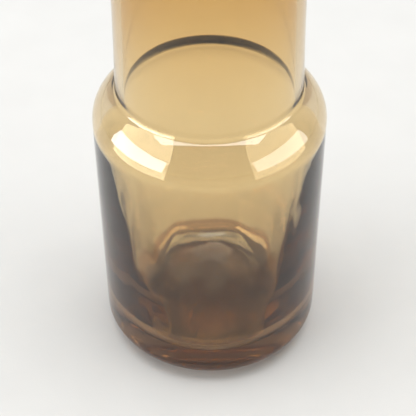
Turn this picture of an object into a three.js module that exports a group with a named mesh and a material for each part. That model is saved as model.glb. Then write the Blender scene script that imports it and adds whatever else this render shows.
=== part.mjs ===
// A bud vase blown in one piece of amber glass: a heavy-bottomed cylindrical body, a rounded
// shoulder and a wide, slightly waisted neck that is open at the top.
//
// Millimetres, +Z up. The origin is on the vase's axis, in the plane that its foot stands on.
// The vase is a solid of revolution, so it is one closed outline turned about +Z.

import * as THREE from 'three';

// ---------------------------------------------------------------- driving dimensions

const totalHeight = 200; // foot to the top of the rim
const bodyRadius = 40;
const bodyHeight = 94.2; // foot to where the shoulder starts to curve in
const shoulderRise = 13.4; // from there up to the foot of the neck
const shoulderSidePull = 6.5; // how long the shoulder's curve keeps to the side's direction
const shoulderTopPull = 3; // and to the direction in which it meets the neck's soft corner
const neckRootRadius = 31.7; // outside, at the foot of the neck
const neckRootFillet = 1.5; // soft inside corner between shoulder and neck
const neckRootTurn = 57; // degrees that the corner turns through
const neckWaistInset = 2; // how far the neck's sides are drawn in, as the pull of their curve
const neckWall = 3;
const rimFlare = 0.3; // how much further out the rim is than the foot of the neck

const heelReach = 13; // how far in from the body's side the rounded heel runs
const heelHeight = 9.4;
const footRingWidth = 3; // flat ring that the vase stands on
const puntRise = 1.2; // hollow under the foot, at the axis

const bodyWall = 3.2; // under the shoulder, where the body's wall is thinnest
const lowerWall = 10; // at the foot of the cavity's side, where it is thickest
const lowerWallHeight = 16; // foot plane to the foot of the cavity's side
const lowerWallLean = 0.1; // radius lost there for each millimetre down
const baseThickness = 7; // foot plane to the floor of the cavity, at the axis
const floorSpread = 24; // radius to which the floor's pull keeps it level

const cavityShoulderDrop = 3.2; // from the shoulder's start down to where the cavity starts to narrow
const innerShoulderDrop = 0.6; // from the foot of the neck down to where its bore starts to widen

// ---------------------------------------------------------------- how finely curves are cut

const turnSegments = 64; // around the axis
const puntSteps = 3;
const heelSteps = 7;
const shoulderSteps = 8;
const filletSteps = 3;
const neckSteps = 5;
const rimSteps = 4;
const innerShoulderSteps = 7;
const cavitySideSteps = 8;
const cavityFloorSteps = 8;

// ---------------------------------------------------------------- sizes that follow

const neckRootHeight = bodyHeight + shoulderRise;
const rimRadius = neckWall / 2; // the rim is fire-polished to a full round
const rimCentreHeight = totalHeight - rimRadius;
const rimOuterRadius = neckRootRadius + rimFlare;
const neckMidHeight = (neckRootHeight + rimCentreHeight) / 2;
const footOuterRadius = bodyRadius - heelReach;
const puntRadius = footOuterRadius - footRingWidth;
const cavityRadius = bodyRadius - bodyWall;
const cavityTop = bodyHeight - cavityShoulderDrop;
const lowerCavityRadius = bodyRadius - lowerWall;

const point = (radius, height) => new THREE.Vector2(radius, height);

// Part of an ellipse about (radius, height), from one angle to another, in degrees.
function ellipseArc(radius, height, radialAxis, verticalAxis, fromDegrees, toDegrees) {
  const from = THREE.MathUtils.degToRad(fromDegrees);
  const to = THREE.MathUtils.degToRad(toDegrees);
  return new THREE.EllipseCurve(radius, height, radialAxis, verticalAxis, from, to, toDegrees < fromDegrees);
}

// ---------------------------------------------------------------- stretches of the outline

// Underside: a shallow dome from the axis to the flat foot ring.
function punt() {
  return new THREE.QuadraticBezierCurve(
    point(0, puntRise),
    point(puntRadius / 2, puntRise),
    point(puntRadius, 0),
  );
}

function heel() {
  return ellipseArc(footOuterRadius, heelHeight, heelReach, heelHeight, -90, 0);
}

// The soft corner at the foot of the neck, from the shoulder's lean round to upright.
function neckRoot() {
  const centreRadius = neckRootRadius + neckRootFillet;
  return ellipseArc(centreRadius, neckRootHeight, neckRootFillet, neckRootFillet, 180 + neckRootTurn, 180);
}

// The shoulder bulges from the body's side to the soft corner and meets it without an edge.
function shoulder() {
  const corner = neckRoot();
  const end = corner.getPoint(0);
  const topPull = corner.getTangent(0).multiplyScalar(-shoulderTopPull);
  return new THREE.CubicBezierCurve(
    point(bodyRadius, bodyHeight),
    point(bodyRadius, bodyHeight + shoulderSidePull),
    end.clone().add(topPull),
    end,
  );
}

// The neck's side, set in from its outside by `inset` on the inner face.
function neckSide(inset) {
  return new THREE.QuadraticBezierCurve(
    point(neckRootRadius - inset, neckRootHeight),
    point(neckRootRadius - inset - neckWaistInset, neckMidHeight),
    point(rimOuterRadius - inset, rimCentreHeight),
  );
}

function rim() {
  return ellipseArc(rimOuterRadius - rimRadius, rimCentreHeight, rimRadius, rimRadius, 0, 180);
}

// Inside of the shoulder: the neck's bore turns out sharply, then down into the body.
function innerShoulder() {
  const boreRadius = neckRootRadius - neckWall;
  const boreEnd = neckRootHeight - innerShoulderDrop;
  return new THREE.CubicBezierCurve(
    point(boreRadius, boreEnd),
    point(boreRadius, boreEnd - neckWall),
    point(cavityRadius, cavityTop + 2.5 * bodyWall),
    point(cavityRadius, cavityTop),
  );
}

// Side of the cavity: the wall is thin under the shoulder and thickens down to the heavy base.
function cavitySide() {
  const height = cavityTop - lowerWallHeight;
  const upperPull = 0.65 * height;
  const lowerPull = 0.27 * height;
  return new THREE.CubicBezierCurve(
    point(cavityRadius, cavityTop),
    point(cavityRadius - 0.6 * bodyWall, cavityTop - upperPull),
    point(lowerCavityRadius + lowerWallLean * lowerPull, lowerWallHeight + lowerPull),
    point(lowerCavityRadius, lowerWallHeight),
  );
}

// Bottom of the cavity: the side turns in a soft corner onto the nearly level floor.
function cavityFloor() {
  const cornerPull = 0.4 * lowerWallHeight;
  return new THREE.CubicBezierCurve(
    point(lowerCavityRadius, lowerWallHeight),
    point(lowerCavityRadius - lowerWallLean * cornerPull, lowerWallHeight - cornerPull),
    point(floorSpread, baseThickness),
    point(0, baseThickness),
  );
}

// ---------------------------------------------------------------- the closed outline

function reversed(points) {
  return points.slice().reverse();
}

function vesselOutline() {
  const stretches = [
    punt().getPoints(puntSteps),
    heel().getPoints(heelSteps),
    shoulder().getPoints(shoulderSteps),
    neckRoot().getPoints(filletSteps),
    neckSide(0).getPoints(neckSteps),
    rim().getPoints(rimSteps),
    reversed(neckSide(neckWall).getPoints(neckSteps)),
    innerShoulder().getPoints(innerShoulderSteps),
    cavitySide().getPoints(cavitySideSteps),
    cavityFloor().getPoints(cavityFloorSteps),
  ];
  const outline = stretches.flat();
  const tooClose = 1e-6;
  const distinct = outline.filter((p, i) => i === 0 || p.distanceTo(outline[i - 1]) > tooClose);
  distinct[0].x = 0;
  distinct[distinct.length - 1].x = 0;
  return distinct;
}

// ---------------------------------------------------------------- the piece

// LatheGeometry turns its outline about +Y, so the result is stood up to +Z.
function glassVessel() {
  const geometry = new THREE.LatheGeometry(vesselOutline(), turnSegments);
  geometry.rotateX(Math.PI / 2);
  const amberGlass = new THREE.MeshStandardMaterial({
    color: 0xb98a4e,
    roughness: 0.05,
    metalness: 0,
    transparent: true,
    opacity: 0.5,
  });
  const mesh = new THREE.Mesh(geometry, amberGlass);
  mesh.name = 'glass_vessel';
  return mesh;
}

const group = new THREE.Group();
group.add(glassVessel());

export default group;
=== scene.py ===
"""A bud vase blown in one piece of amber glass, on a pale studio floor. Two softboxes stand at its
sides and a third hangs overhead.

The vase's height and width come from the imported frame. The rest of its outline is drawn with the
same arcs and curves as the CAD solid, but finely. Geometry Nodes turn the outline about +Z, ripple
the inner wall as blowing does, and sow a few seeds, the small bubbles that the melt traps.
"""

import math

import bpy
from mathutils import Matrix, Vector
from mathutils.geometry import interpolate_bezier


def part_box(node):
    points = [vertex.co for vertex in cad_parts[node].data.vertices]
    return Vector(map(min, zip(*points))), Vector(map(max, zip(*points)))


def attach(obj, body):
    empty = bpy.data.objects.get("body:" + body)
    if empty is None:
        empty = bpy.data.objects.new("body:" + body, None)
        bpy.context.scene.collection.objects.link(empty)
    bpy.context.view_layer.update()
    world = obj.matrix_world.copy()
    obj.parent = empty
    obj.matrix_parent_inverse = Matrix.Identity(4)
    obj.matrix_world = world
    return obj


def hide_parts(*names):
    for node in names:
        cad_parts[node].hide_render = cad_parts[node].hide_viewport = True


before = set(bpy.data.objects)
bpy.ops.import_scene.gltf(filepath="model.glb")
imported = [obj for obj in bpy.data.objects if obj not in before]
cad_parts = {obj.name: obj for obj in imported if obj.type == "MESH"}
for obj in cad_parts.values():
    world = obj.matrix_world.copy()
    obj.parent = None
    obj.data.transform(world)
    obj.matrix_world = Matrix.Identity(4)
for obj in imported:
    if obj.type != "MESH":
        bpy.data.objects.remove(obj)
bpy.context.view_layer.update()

MM = 0.001

# ------------------------------------------------------------------ sizes of the vase

VESSEL_LOW, VESSEL_HIGH = (Vector(corner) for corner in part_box("glass_vessel"))
TOTAL_HEIGHT = VESSEL_HIGH.z - VESSEL_LOW.z
BODY_RADIUS = (VESSEL_HIGH.x - VESSEL_LOW.x) / 2

BODY_HEIGHT = 94.2 * MM  # foot to where the shoulder starts to curve in
SHOULDER_RISE = 13.4 * MM  # from there up to the foot of the neck
SHOULDER_SIDE_PULL = 6.5 * MM  # how long the shoulder's curve keeps to the side's direction
SHOULDER_TOP_PULL = 3 * MM  # and to the direction in which it meets the neck's soft corner
NECK_ROOT_RADIUS = 31.7 * MM  # outside, at the foot of the neck
NECK_ROOT_FILLET = 1.5 * MM  # soft inside corner between shoulder and neck
NECK_ROOT_TURN = math.radians(57)  # angle that the corner turns through
NECK_WAIST_INSET = 2 * MM  # how far the neck's sides are drawn in, as the pull of their curve
NECK_WALL = 3 * MM
RIM_FLARE = 0.3 * MM  # how much further out the rim is than the foot of the neck

HEEL_REACH = 13 * MM  # how far in from the body's side the rounded heel runs
HEEL_HEIGHT = 9.4 * MM
FOOT_RING_WIDTH = 3 * MM  # flat ring that the vase stands on
PUNT_RISE = 1.2 * MM  # hollow under the foot, at the axis

BODY_WALL = 3.2 * MM  # under the shoulder
LOWER_WALL = 10 * MM  # at the foot of the cavity's side
LOWER_WALL_HEIGHT = 16 * MM  # foot plane to the foot of the cavity's side
LOWER_WALL_LEAN = 0.1  # radius lost there for each unit of height down
BASE_THICKNESS = 7 * MM  # foot plane to the floor of the cavity, at the axis
FLOOR_SPREAD = 24 * MM  # radius to which the floor's pull keeps it level
CAVITY_SHOULDER_DROP = 3.2 * MM  # from the shoulder's start down to where the cavity narrows
INNER_SHOULDER_DROP = 0.6 * MM  # from the foot of the neck down to where its bore widens

NECK_ROOT_HEIGHT = BODY_HEIGHT + SHOULDER_RISE
RIM_RADIUS = NECK_WALL / 2  # the rim is fire-polished to a full round
RIM_CENTRE_HEIGHT = TOTAL_HEIGHT - RIM_RADIUS
RIM_OUTER_RADIUS = NECK_ROOT_RADIUS + RIM_FLARE
FOOT_OUTER_RADIUS = BODY_RADIUS - HEEL_REACH
PUNT_RADIUS = FOOT_OUTER_RADIUS - FOOT_RING_WIDTH
CAVITY_RADIUS = BODY_RADIUS - BODY_WALL
CAVITY_TOP = BODY_HEIGHT - CAVITY_SHOULDER_DROP
CAVITY_SIDE_HEIGHT = CAVITY_TOP - LOWER_WALL_HEIGHT
LOWER_CAVITY_RADIUS = BODY_RADIUS - LOWER_WALL

UNDER_SHOULDER_PULL = 2.5 * BODY_WALL  # how long the cavity stays upright above its top
UPPER_SIDE_PULL = 0.65 * CAVITY_SIDE_HEIGHT  # how long its side stays thin-walled, downwards
UPPER_SIDE_INSET = 0.6 * BODY_WALL  # and how far in that pull leans
LOWER_SIDE_PULL = 0.27 * CAVITY_SIDE_HEIGHT  # how long the side keeps to the lower wall's lean
FLOOR_CORNER_PULL = 0.4 * LOWER_WALL_HEIGHT  # and how long the floor's corner keeps to it

# ------------------------------------------------------------------ how finely curves are cut

TURNS = 192  # flats around the axis
PUNT_STEPS = 24
HEEL_STEPS = 32
BODY_SIDE_STEPS = 40
SHOULDER_STEPS = 48
NECK_ROOT_STEPS = 16
NECK_STEPS = 40
RIM_STEPS = 16
UNDER_SHOULDER_STEPS = 64
CAVITY_SIDE_STEPS = 96
CAVITY_FLOOR_STEPS = 80
SAME_POINT = 0.001 * MM  # outline points nearer than this are one
WELD_DISTANCE = 0.0005 * MM

# ------------------------------------------------------------------ glass

GLASS_IOR = 1.51
MELT_COLOUR = "dfd3c2"  # the melt takes up what this colour lacks
MELT_DENSITY = 106  # how strongly it does, per metre
# painted shade: the foot's skin darkens its glass as the shadowed floor under the vase would
FOOT_PAINTED_SHADE = "ad8161"  # a skin is the colour that the surface lets through
BODY_SKIN = "fff2d0"
NECK_SKIN = "e7c88e"
FOOT_SHADE_FROM = 7.5 * MM  # the foot's painted shade is whole up to this height
FOOT_SHADE_TO = 11 * MM  # and gone above this one
NECK_TINT_FROM = 102 * MM  # the neck's skin starts at this height
NECK_TINT_TO = 162 * MM  # and is whole above this one

CORDS_PER_METRE = (60.0, 60.0, 18.0)  # streaks in the melt, about 17 mm wide and 56 mm long
CORD_DRIFT = 0.10  # how far they shift the neck's tint
CORD_RELIEF = 0.02 * MM  # and how high they stand in the polished surface

RIPPLES_PER_METRE = (90.0, 90.0, 32.0)  # about 11 mm wide and 31 mm long
RIPPLE_DEPTH = 1.1 * MM
RIPPLE_FADE = 0.4 * BODY_HEIGHT  # height over which they die out towards the shoulder

SEEDS = 18
SEEDS_UP_TO = RIM_CENTRE_HEIGHT - NECK_WALL  # the rim is clear of them
SEED_STRETCH = (1.0, 1.0, 1.5)

# ------------------------------------------------------------------ studio

FLOOR_REACH = 6.0  # metres from the vase to each edge
FLOOR_DROP = 0.02 * MM  # keeps the floor out of the plane of the foot's ring
FLOOR_DARK = "868685"
FLOOR_LIGHT = "8b8b8a"
MOTTLE_WIDTH = 25 * MM
TOOTH_WIDTH = 0.4 * MM
TOOTH_HEIGHT = 0.1 * MM

# Each softbox: azimuth from the front, elevation, width and height, in degrees as the vase sees
# them, then radiance and colour.
LEFT_SOFTBOX = (-71, 7, 58, 44, 10, "ffffff")
RIGHT_SOFTBOX = (70, 7, 58, 44, 5.5, "fffcf6")
TOP_SOFTBOX = (0, 94, 70, 42, 8, "ffffff")
SOFTBOX_DISTANCE = 2.5  # metres
SOFTBOX_TARGET = Vector((0, 0, 90 * MM))
ROOM_COLOUR = "f7f6f3"
ROOM_STRENGTH = 0.9
EXPOSURE = 0.13  # stops

CAMERA_PLACE = (-0.77 * MM, -303.6 * MM, 321.2 * MM)
CAMERA_DIP = 0.727  # radians below level
CAMERA_ROLL = -0.008  # radians
FILM_WIDTH = 36  # millimetres, as the lens is
LENS_LENGTH = 95.7


# ------------------------------------------------------------------ curves

def straight(start, end, steps):
    """Evenly spaced points from one point to another."""
    return [tuple(a + (b - a) * i / steps for a, b in zip(start, end)) for i in range(steps + 1)]


def arc(centre, axes, start, end, steps):
    """Points on an ellipse about (radius, height), from one angle to another, in radians."""
    angles = [start + (end - start) * i / steps for i in range(steps + 1)]
    return [(centre[0] + axes[0] * math.cos(a), centre[1] + axes[1] * math.sin(a)) for a in angles]


def cubic(start, start_pull, end_pull, end, steps):
    """Points on a cubic curve."""
    corners = [Vector((*p, 0)) for p in (start, start_pull, end_pull, end)]
    return [(p.x, p.y) for p in interpolate_bezier(*corners, steps + 1)]


def quadratic(start, pull, end, steps):
    """Points on a quadratic curve, raised to a cubic one."""
    start_pull = [a + (b - a) * 2 / 3 for a, b in zip(start, pull)]
    end_pull = [a + (b - a) * 2 / 3 for a, b in zip(end, pull)]
    return cubic(start, start_pull, end_pull, end, steps)


def without_repeats(points):
    """Points, less each one that lies on the one before it."""
    kept = [points[0]]
    for point in points[1:]:
        if math.dist(point, kept[-1]) > SAME_POINT:
            kept.append(point)
    return kept


# ------------------------------------------------------------------ stretches of the outline

def neck_root():
    """The soft corner at the foot of the neck, from the shoulder's lean round to upright."""
    centre = (NECK_ROOT_RADIUS + NECK_ROOT_FILLET, NECK_ROOT_HEIGHT)
    axes = (NECK_ROOT_FILLET, NECK_ROOT_FILLET)
    return arc(centre, axes, math.pi + NECK_ROOT_TURN, math.pi, NECK_ROOT_STEPS)


def shoulder(end):
    """Bulges from the body's side to the soft corner and meets it without an edge."""
    radius, height = end
    top_pull = (
        radius + SHOULDER_TOP_PULL * math.sin(NECK_ROOT_TURN),
        height - SHOULDER_TOP_PULL * math.cos(NECK_ROOT_TURN),
    )
    side_pull = (BODY_RADIUS, BODY_HEIGHT + SHOULDER_SIDE_PULL)
    return cubic((BODY_RADIUS, BODY_HEIGHT), side_pull, top_pull, end, SHOULDER_STEPS)


def neck_side(inset):
    """The neck's side from its foot to its rim, set in from the outside."""
    middle = (NECK_ROOT_HEIGHT + RIM_CENTRE_HEIGHT) / 2
    foot = (NECK_ROOT_RADIUS - inset, NECK_ROOT_HEIGHT)
    waist = (NECK_ROOT_RADIUS - inset - NECK_WAIST_INSET, middle)
    return quadratic(foot, waist, (RIM_OUTER_RADIUS - inset, RIM_CENTRE_HEIGHT), NECK_STEPS)


def under_shoulder():
    """The neck's bore turns out sharply, then down into the body."""
    bore = (NECK_ROOT_RADIUS - NECK_WALL, NECK_ROOT_HEIGHT - INNER_SHOULDER_DROP)
    bore_pull = (bore[0], bore[1] - NECK_WALL)
    cavity_pull = (CAVITY_RADIUS, CAVITY_TOP + UNDER_SHOULDER_PULL)
    return cubic(bore, bore_pull, cavity_pull, (CAVITY_RADIUS, CAVITY_TOP), UNDER_SHOULDER_STEPS)


def cavity_side():
    """The wall is thin under the shoulder and thickens down to the heavy base."""
    top = (CAVITY_RADIUS, CAVITY_TOP)
    top_pull = (CAVITY_RADIUS - UPPER_SIDE_INSET, CAVITY_TOP - UPPER_SIDE_PULL)
    foot = (LOWER_CAVITY_RADIUS, LOWER_WALL_HEIGHT)
    foot_pull = (foot[0] + LOWER_WALL_LEAN * LOWER_SIDE_PULL, foot[1] + LOWER_SIDE_PULL)
    return cubic(top, top_pull, foot_pull, foot, CAVITY_SIDE_STEPS)


def cavity_floor():
    """The side turns in a soft corner onto the nearly level floor."""
    side = (LOWER_CAVITY_RADIUS, LOWER_WALL_HEIGHT)
    side_pull = (side[0] - LOWER_WALL_LEAN * FLOOR_CORNER_PULL, side[1] - FLOOR_CORNER_PULL)
    middle_pull = (FLOOR_SPREAD, BASE_THICKNESS)
    return cubic(side, side_pull, middle_pull, (0, BASE_THICKNESS), CAVITY_FLOOR_STEPS)


def outside():
    """From the middle of the underside up to the rim, and over it to the bore."""
    punt = quadratic((0, PUNT_RISE), (PUNT_RADIUS / 2, PUNT_RISE), (PUNT_RADIUS, 0), PUNT_STEPS)
    heel_centre = (FOOT_OUTER_RADIUS, HEEL_HEIGHT)
    heel = arc(heel_centre, (HEEL_REACH, HEEL_HEIGHT), -math.pi / 2, 0, HEEL_STEPS)
    body_side = straight((BODY_RADIUS, HEEL_HEIGHT), (BODY_RADIUS, BODY_HEIGHT), BODY_SIDE_STEPS)
    corner = neck_root()
    rim_centre = (RIM_OUTER_RADIUS - RIM_RADIUS, RIM_CENTRE_HEIGHT)
    rim = arc(rim_centre, (RIM_RADIUS, RIM_RADIUS), 0, math.pi, RIM_STEPS)
    return punt + heel + body_side + shoulder(corner[0]) + corner + neck_side(0) + rim


def inside():
    """From the rim down the bore, out under the shoulder, and down to the middle of the floor."""
    return neck_side(NECK_WALL)[::-1] + under_shoulder() + cavity_side() + cavity_floor()


def ripple_share(is_inside, height):
    """How freely the wall ripples at a height: most inside the lower body, where the glass stayed
    soft the longest, and not at all outside or above the shoulder."""
    if not is_inside:
        return 0.0
    fade_in = (height - BASE_THICKNESS) / LOWER_WALL_HEIGHT
    fade_out = (BODY_HEIGHT - height) / RIPPLE_FADE
    return max(0.0, min(1.0, fade_in, fade_out))


# ------------------------------------------------------------------ nodes

RANDOM_LOW, RANDOM_HIGH, RANDOM_NUMBER = 2, 3, 1  # a random number's range, and where it comes out
COLOUR_A, COLOUR_B, COLOUR_MIXED = 6, 7, 2  # a mix's two colours, and where it comes out


def add(tree, kind, sockets=None, **settings):
    """Adds a node. sockets gives its inputs by name or number, each a value, the socket that feeds
    it, or the node whose first output does. settings are its properties."""
    made = tree.nodes.new(kind)
    for name, value in settings.items():
        setattr(made, name, value)
    for name, value in (sockets or {}).items():
        if isinstance(value, bpy.types.Node):
            value = value.outputs[0]
        if isinstance(value, bpy.types.NodeSocket):
            tree.links.new(value, made.inputs[name])
        else:
            made.inputs[name].default_value = value
    return made


# ------------------------------------------------------------------ turning the vase

TREE_INPUTS = {
    "Outline": "NodeSocketGeometry",
    "Turns": "NodeSocketInt",
    "Ripple depth": "NodeSocketFloat",
    "Ripples per metre": "NodeSocketVector",
    "Seeds": "NodeSocketInt",
    "Seeds from row": "NodeSocketFloat",
    "Seeds to row": "NodeSocketFloat",
    "Shallowest seed": "NodeSocketFloat",
    "Deepest seed": "NodeSocketFloat",
    "Smallest seed": "NodeSocketFloat",
    "Largest seed": "NodeSocketFloat",
    "Random seed": "NodeSocketInt",
    "Weld distance": "NodeSocketFloat",
    "Glass": "NodeSocketMaterial",
}


def outline_point(tree, outline, row):
    """The outline's point in a row, as a position."""
    sample = {"Geometry": outline, "Value": add(tree, "GeometryNodeInputPosition"), "Index": row}
    return add(tree, "GeometryNodeSampleIndex", sample, data_type="FLOAT_VECTOR")


def rolled_wall(tree, given):
    """The outline turned about +Z: a grid with a row for each of its points and a column for each
    turn, rolled up. Gives the wall, and each point's row and angle."""
    outline = given["Outline"]
    size = add(tree, "GeometryNodeAttributeDomainSize", {"Geometry": outline}, component="MESH")
    columns = add(tree, "FunctionNodeIntegerMath", {0: given["Turns"], 1: 1}, operation="ADD")
    sides = {"Vertices X": size.outputs["Point Count"], "Vertices Y": columns}
    grid = add(tree, "GeometryNodeMeshGrid", sides)
    index = add(tree, "GeometryNodeInputIndex")
    row = add(tree, "FunctionNodeIntegerMath", {0: index, 1: columns}, operation="DIVIDE_FLOOR")
    column = add(tree, "FunctionNodeIntegerMath", {0: index, 1: columns}, operation="MODULO")
    share = add(tree, "ShaderNodeMath", {0: column, 1: given["Turns"]}, operation="DIVIDE")
    angle = add(tree, "ShaderNodeMath", {0: share, 1: math.tau}, operation="MULTIPLY")
    turn = {"Vector": outline_point(tree, outline, row), "Angle": angle}
    place = add(tree, "ShaderNodeVectorRotate", turn, rotation_type="Z_AXIS")
    wall = add(tree, "GeometryNodeSetPosition", {"Geometry": grid, "Position": place})
    return wall, row, angle


def rippled(tree, given, wall, row, angle):
    """The wall pushed in and out, by as much as each row's share of the ripple."""
    here = add(tree, "GeometryNodeInputPosition")
    waves = {0: here, 1: given["Ripples per metre"]}
    waves = add(tree, "ShaderNodeVectorMath", waves, operation="MULTIPLY")
    noise = add(tree, "ShaderNodeTexNoise", {"Vector": waves, "Scale": 1.0, "Detail": 1.0})
    swing = add(tree, "ShaderNodeMath", {0: noise, 1: 0.5}, operation="SUBTRACT")
    held = add(tree, "GeometryNodeInputNamedAttribute", {"Name": "ripple"}, data_type="FLOAT")
    share = {"Geometry": given["Outline"], "Value": held, "Index": row}
    share = add(tree, "GeometryNodeSampleIndex", share, data_type="FLOAT")
    swing = add(tree, "ShaderNodeMath", {0: swing, 1: share}, operation="MULTIPLY")
    depth = add(tree, "ShaderNodeMath", {0: swing, 1: given["Ripple depth"]}, operation="MULTIPLY")
    outwards = {"Vector": (1.0, 0.0, 0.0), "Angle": angle}
    outwards = add(tree, "ShaderNodeVectorRotate", outwards, rotation_type="Z_AXIS")
    push = add(tree, "ShaderNodeVectorMath", {0: outwards, "Scale": depth}, operation="SCALE")
    return add(tree, "GeometryNodeSetPosition", {"Geometry": wall, "Offset": push})


def blown_wall(tree, given):
    """The rolled and rippled wall, welded at its seam and poles and turned to face outwards."""
    wall = rippled(tree, given, *rolled_wall(tree, given))
    weld = {"Geometry": wall, "Distance": given["Weld distance"]}
    welded = add(tree, "GeometryNodeMergeByDistance", weld)
    return add(tree, "GeometryNodeFlipFaces", {"Mesh": welded})


def seed_place(tree, given, draws):
    """A random place inside the wall: a row of the outline, a depth behind it, and a turn."""
    row = {RANDOM_LOW: given["Seeds from row"], RANDOM_HIGH: given["Seeds to row"], "Seed": draws[0]}
    row = add(tree, "FunctionNodeRandomValue", row, data_type="FLOAT").outputs[RANDOM_NUMBER]
    depth = {
        RANDOM_LOW: given["Shallowest seed"],
        RANDOM_HIGH: given["Deepest seed"],
        "Seed": draws[1],
    }
    depth = add(tree, "FunctionNodeRandomValue", depth, data_type="FLOAT").outputs[RANDOM_NUMBER]
    share = add(tree, "FunctionNodeRandomValue", {"Seed": draws[2]}, data_type="FLOAT")
    inwards = add(tree, "ShaderNodeMath", {0: depth, 1: -1.0}, operation="MULTIPLY")
    inwards = add(tree, "ShaderNodeCombineXYZ", {"X": inwards})
    in_wall = {0: outline_point(tree, given["Outline"], row), 1: inwards}
    in_wall = add(tree, "ShaderNodeVectorMath", in_wall, operation="ADD")
    angle = {0: share.outputs[RANDOM_NUMBER], 1: math.tau}
    angle = add(tree, "ShaderNodeMath", angle, operation="MULTIPLY")
    turn = {"Vector": in_wall, "Angle": angle}
    return add(tree, "ShaderNodeVectorRotate", turn, rotation_type="Z_AXIS")


def trapped_seeds(tree, given):
    """Bubbles shut inside the wall. Each is a small shell whose faces point into the bubble, out of
    the glass, stretched upwards as the wall was drawn."""
    draws = []
    for number in range(4):
        drawn = {0: given["Random seed"], 1: number}
        draws.append(add(tree, "FunctionNodeIntegerMath", drawn, operation="ADD"))
    sown = {"Count": given["Seeds"], "Position": seed_place(tree, given, draws)}
    points = add(tree, "GeometryNodePoints", sown)

    ball = add(tree, "GeometryNodeMeshIcoSphere", {"Radius": 1.0, "Subdivisions": 3})
    shell = add(tree, "GeometryNodeFlipFaces", {"Mesh": ball})
    size = {RANDOM_LOW: given["Smallest seed"], RANDOM_HIGH: given["Largest seed"], "Seed": draws[3]}
    size = add(tree, "FunctionNodeRandomValue", size, data_type="FLOAT").outputs[RANDOM_NUMBER]
    stretch = add(tree, "ShaderNodeVectorMath", {0: SEED_STRETCH, "Scale": size}, operation="SCALE")
    shells = {"Points": points, "Instance": shell, "Scale": stretch}
    return add(tree, "GeometryNodeInstanceOnPoints", shells)


def turning_tree():
    """Makes the vase from its outline."""
    tree = bpy.data.node_groups.new("blown_and_turned", "GeometryNodeTree")
    for name, kind in TREE_INPUTS.items():
        tree.interface.new_socket(name, in_out="INPUT", socket_type=kind)
    tree.interface.new_socket("Vase", in_out="OUTPUT", socket_type="NodeSocketGeometry")
    given = add(tree, "NodeGroupInput").outputs
    joined = add(tree, "GeometryNodeJoinGeometry")
    for shape in (blown_wall(tree, given), trapped_seeds(tree, given)):
        tree.links.new(shape.outputs[0], joined.inputs[0])
    real = add(tree, "GeometryNodeRealizeInstances", {"Geometry": joined})
    smooth = add(tree, "GeometryNodeSetShadeSmooth", {"Geometry": real})
    glazed = add(tree, "GeometryNodeSetMaterial", {"Geometry": smooth, "Material": given["Glass"]})
    add(tree, "NodeGroupOutput", {0: glazed})
    return tree


def outline_object(name, points, ripple):
    """The outline as a bare wire in the XZ plane, each point with its share of the ripple."""
    mesh = bpy.data.meshes.new(name)
    edges = [(i, i + 1) for i in range(len(points) - 1)]
    mesh.from_pydata([(radius, 0, height) for radius, height in points], edges, [])
    mesh.attributes.new("ripple", "FLOAT", "POINT").data.foreach_set("value", ripple)
    wire = bpy.data.objects.new(name, mesh)
    bpy.context.scene.collection.objects.link(wire)
    return wire


def make_plain(piece, tree, inputs):
    """Runs the tree on a piece and keeps the result as its plain mesh."""
    identifiers = {item.name: item.identifier for item in tree.interface.items_tree}
    modifier = piece.modifiers.new("turning", "NODES")
    modifier.node_group = tree
    for name, value in inputs.items():
        modifier[identifiers[name]] = value
    evaluated = piece.evaluated_get(bpy.context.evaluated_depsgraph_get())
    mesh = bpy.data.meshes.new_from_object(evaluated)
    piece.modifiers.clear()
    piece.data = mesh


# ------------------------------------------------------------------ materials

def linear(hex_colour):
    """An sRGB hex colour as linear red, green and blue, and full alpha."""
    parts = [int(hex_colour[i:i + 2], 16) / 255 for i in (0, 2, 4)]
    return (*(p / 12.92 if p <= 0.04045 else ((p + 0.055) / 1.055) ** 2.4 for p in parts), 1)


def empty_material(name):
    material = bpy.data.materials.new(name)
    material.use_nodes = True
    material.node_tree.nodes.clear()
    return material


def melt_cords(tree, place):
    """Streaks in the melt, longest upwards, which is how the wall was drawn."""
    drawn = add(tree, "ShaderNodeVectorMath", {0: place, 1: CORDS_PER_METRE}, operation="MULTIPLY")
    return add(tree, "ShaderNodeTexNoise", {"Vector": drawn, "Scale": 1.0, "Detail": 2.0})


def skin_colour_with_foot_shade(tree, height, cords):
    """The foot's, body's and neck's skins, each turning softly into the next; the foot's one is painted
    shade.
    """
    climb = {"Value": height, "From Min": NECK_TINT_FROM, "From Max": NECK_TINT_TO}
    climb = add(tree, "ShaderNodeMapRange", climb, interpolation_type="SMOOTHSTEP")
    swing = add(tree, "ShaderNodeMath", {0: cords, 1: 0.5}, operation="SUBTRACT")
    drift = add(tree, "ShaderNodeMath", {0: swing, 1: CORD_DRIFT}, operation="MULTIPLY")
    share = add(tree, "ShaderNodeMath", {0: climb, 1: drift}, operation="ADD", use_clamp=True)
    upper = {0: share, COLOUR_A: linear(BODY_SKIN), COLOUR_B: linear(NECK_SKIN)}
    upper = add(tree, "ShaderNodeMix", upper, data_type="RGBA").outputs[COLOUR_MIXED]

    # painted shade: share of the foot's darker skin, standing in for the shadowed floor under the vase
    foot_shade_share = {"Value": height, "From Min": FOOT_SHADE_TO, "From Max": FOOT_SHADE_FROM}
    foot_shade_share = add(tree, "ShaderNodeMapRange", foot_shade_share, interpolation_type="SMOOTHSTEP")
    skin = {0: foot_shade_share, COLOUR_A: upper, COLOUR_B: linear(FOOT_PAINTED_SHADE)}
    return add(tree, "ShaderNodeMix", skin, data_type="RGBA").outputs[COLOUR_MIXED]


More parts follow.
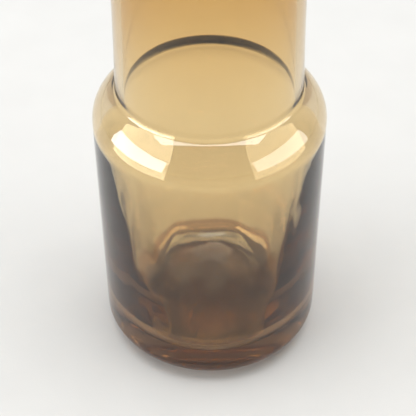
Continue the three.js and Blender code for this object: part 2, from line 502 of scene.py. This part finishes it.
def amber_glass():
    """Soda-lime glass, coloured by iron and sulphur in the melt, blown and fire-polished. It is
    clear and glossy all over: honey in the neck, paler and smokier in the body, and brown under
    the cavity's floor, partly from the thick glass and partly painted shade standing in for the
    shadowed floor under the vase. Faint cords in the melt bend what is seen through it."""
    material = empty_material("amber_soda_lime_glass")
    tree = material.node_tree
    place = add(tree, "ShaderNodeTexCoord").outputs["Object"]
    height = add(tree, "ShaderNodeSeparateXYZ", {0: place}).outputs["Z"]
    cords = melt_cords(tree, place)
    relief = add(tree, "ShaderNodeBump", {"Strength": 1.0, "Distance": CORD_RELIEF, "Height": cords})
    polished = {
        "Base Color": skin_colour_with_foot_shade(tree, height, cords),
        "Roughness": 0.0,
        "IOR": GLASS_IOR,
        "Transmission Weight": 1.0,
        "Normal": relief,
    }
    surface = add(tree, "ShaderNodeBsdfPrincipled", polished)
    melt = {"Color": linear(MELT_COLOUR), "Density": MELT_DENSITY}
    melt = add(tree, "ShaderNodeVolumeAbsorption", melt)
    add(tree, "ShaderNodeOutputMaterial", {"Surface": surface, "Volume": melt})
    return material


def pale_card():
    """Matt card: a soft tooth in its surface and a barely seen mottle."""
    material = empty_material("matt_pale_card")
    tree = material.node_tree
    place = add(tree, "ShaderNodeTexCoord").outputs["Object"]
    mottle = {"Vector": place, "Scale": 1 / MOTTLE_WIDTH, "Detail": 4.0}
    mottle = add(tree, "ShaderNodeTexNoise", mottle)
    shade = {0: mottle, COLOUR_A: linear(FLOOR_DARK), COLOUR_B: linear(FLOOR_LIGHT)}
    shade = add(tree, "ShaderNodeMix", shade, data_type="RGBA").outputs[COLOUR_MIXED]
    tooth = {"Vector": place, "Scale": 1 / TOOTH_WIDTH, "Detail": 2.0}
    tooth = add(tree, "ShaderNodeTexNoise", tooth)
    tooth = add(tree, "ShaderNodeBump", {"Strength": 0.3, "Distance": TOOTH_HEIGHT, "Height": tooth})
    card = add(tree, "ShaderNodeBsdfPrincipled", {"Base Color": shade, "Roughness": 0.8, "Normal": tooth})
    add(tree, "ShaderNodeOutputMaterial", {"Surface": card})
    return material


# ------------------------------------------------------------------ the vase

def vessel():
    """The vase's one piece."""
    outer = without_repeats(outside())
    points = without_repeats(outer + inside())
    ripple = [ripple_share(i >= len(outer), height) for i, (_, height) in enumerate(points)]
    seeded = [i for i, (_, height) in enumerate(outer) if HEEL_HEIGHT < height < SEEDS_UP_TO]
    piece = outline_object("blown_vessel", points, ripple)
    make_plain(piece, turning_tree(), {
        "Turns": TURNS,
        "Ripple depth": RIPPLE_DEPTH,
        "Ripples per metre": RIPPLES_PER_METRE,
        "Seeds": SEEDS,
        "Seeds from row": float(seeded[0]),
        "Seeds to row": float(seeded[-1]),
        "Shallowest seed": 0.8 * MM,
        "Deepest seed": 2.0 * MM,
        "Smallest seed": 0.12 * MM,
        "Largest seed": 0.3 * MM,
        "Random seed": 4,
        "Weld distance": WELD_DISTANCE,
        "Glass": amber_glass(),
    })
    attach(piece, "root")
    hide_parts("glass_vessel")


# ------------------------------------------------------------------ studio

def floor():
    mesh = bpy.data.meshes.new("studio_floor")
    reach = FLOOR_REACH
    corners = [(-reach, -reach, 0), (reach, -reach, 0), (reach, reach, 0), (-reach, reach, 0)]
    mesh.from_pydata(corners, [], [(0, 1, 2, 3)])
    mesh.materials.append(pale_card())
    ground = bpy.data.objects.new("studio_floor", mesh)
    ground.location.z = -FLOOR_DROP
    bpy.context.scene.collection.objects.link(ground)


def softbox(name, azimuth, elevation, width, height, radiance, colour):
    """A lit panel that faces the vase, as wide and high, in degrees, as the vase sees it."""
    turn = math.radians(azimuth)
    lift = math.radians(elevation)
    level = math.cos(lift)
    towards = Vector((math.sin(turn) * level, -math.cos(turn) * level, math.sin(lift)))
    place = SOFTBOX_TARGET + towards * SOFTBOX_DISTANCE
    light = bpy.data.lights.new(name, "AREA")
    light.shape = "RECTANGLE"
    light.size = 2 * SOFTBOX_DISTANCE * math.tan(math.radians(width) / 2)
    light.size_y = 2 * SOFTBOX_DISTANCE * math.tan(math.radians(height) / 2)
    light.energy = radiance * math.pi * light.size * light.size_y
    light.color = linear(colour)[:3]
    box = bpy.data.objects.new(name, light)
    box.location = place
    box.rotation_euler = (SOFTBOX_TARGET - place).to_track_quat("-Z", "Y").to_euler()
    bpy.context.scene.collection.objects.link(box)


def room():
    """Even light from all round."""
    sky = bpy.data.worlds.new("studio_room")
    sky.use_nodes = True
    sky.node_tree.nodes.clear()
    light = {"Color": linear(ROOM_COLOUR), "Strength": ROOM_STRENGTH}
    shade = add(sky.node_tree, "ShaderNodeBackground", light)
    add(sky.node_tree, "ShaderNodeOutputWorld", {"Surface": shade})
    bpy.context.scene.world = sky


def camera():
    """Looks down at the body from in front, close enough that the rim is out of the frame."""
    lens = bpy.data.cameras.new("camera")
    lens.sensor_width = FILM_WIDTH
    lens.lens = LENS_LENGTH
    eye = bpy.data.objects.new("camera", lens)
    eye.location = CAMERA_PLACE
    pitch = Matrix.Rotation(math.pi / 2 - CAMERA_DIP, 3, "X")
    roll = Matrix.Rotation(CAMERA_ROLL, 3, "Z")
    eye.rotation_euler = (pitch @ roll).to_euler()
    bpy.context.scene.collection.objects.link(eye)
    bpy.context.scene.camera = eye


def render_settings():
    """Lets light pass every wall of the glass."""
    scene = bpy.context.scene
    scene.view_settings.view_transform = "Standard"
    scene.view_settings.exposure = EXPOSURE
    scene.cycles.max_bounces = 32
    scene.cycles.transmission_bounces = 32
    scene.cycles.glossy_bounces = 16
    scene.cycles.diffuse_bounces = 4


def main():
    vessel()
    floor()
    room()
    softbox("left_softbox", *LEFT_SOFTBOX)
    softbox("right_softbox", *RIGHT_SOFTBOX)
    softbox("top_softbox", *TOP_SOFTBOX)
    camera()
    render_settings()


main()
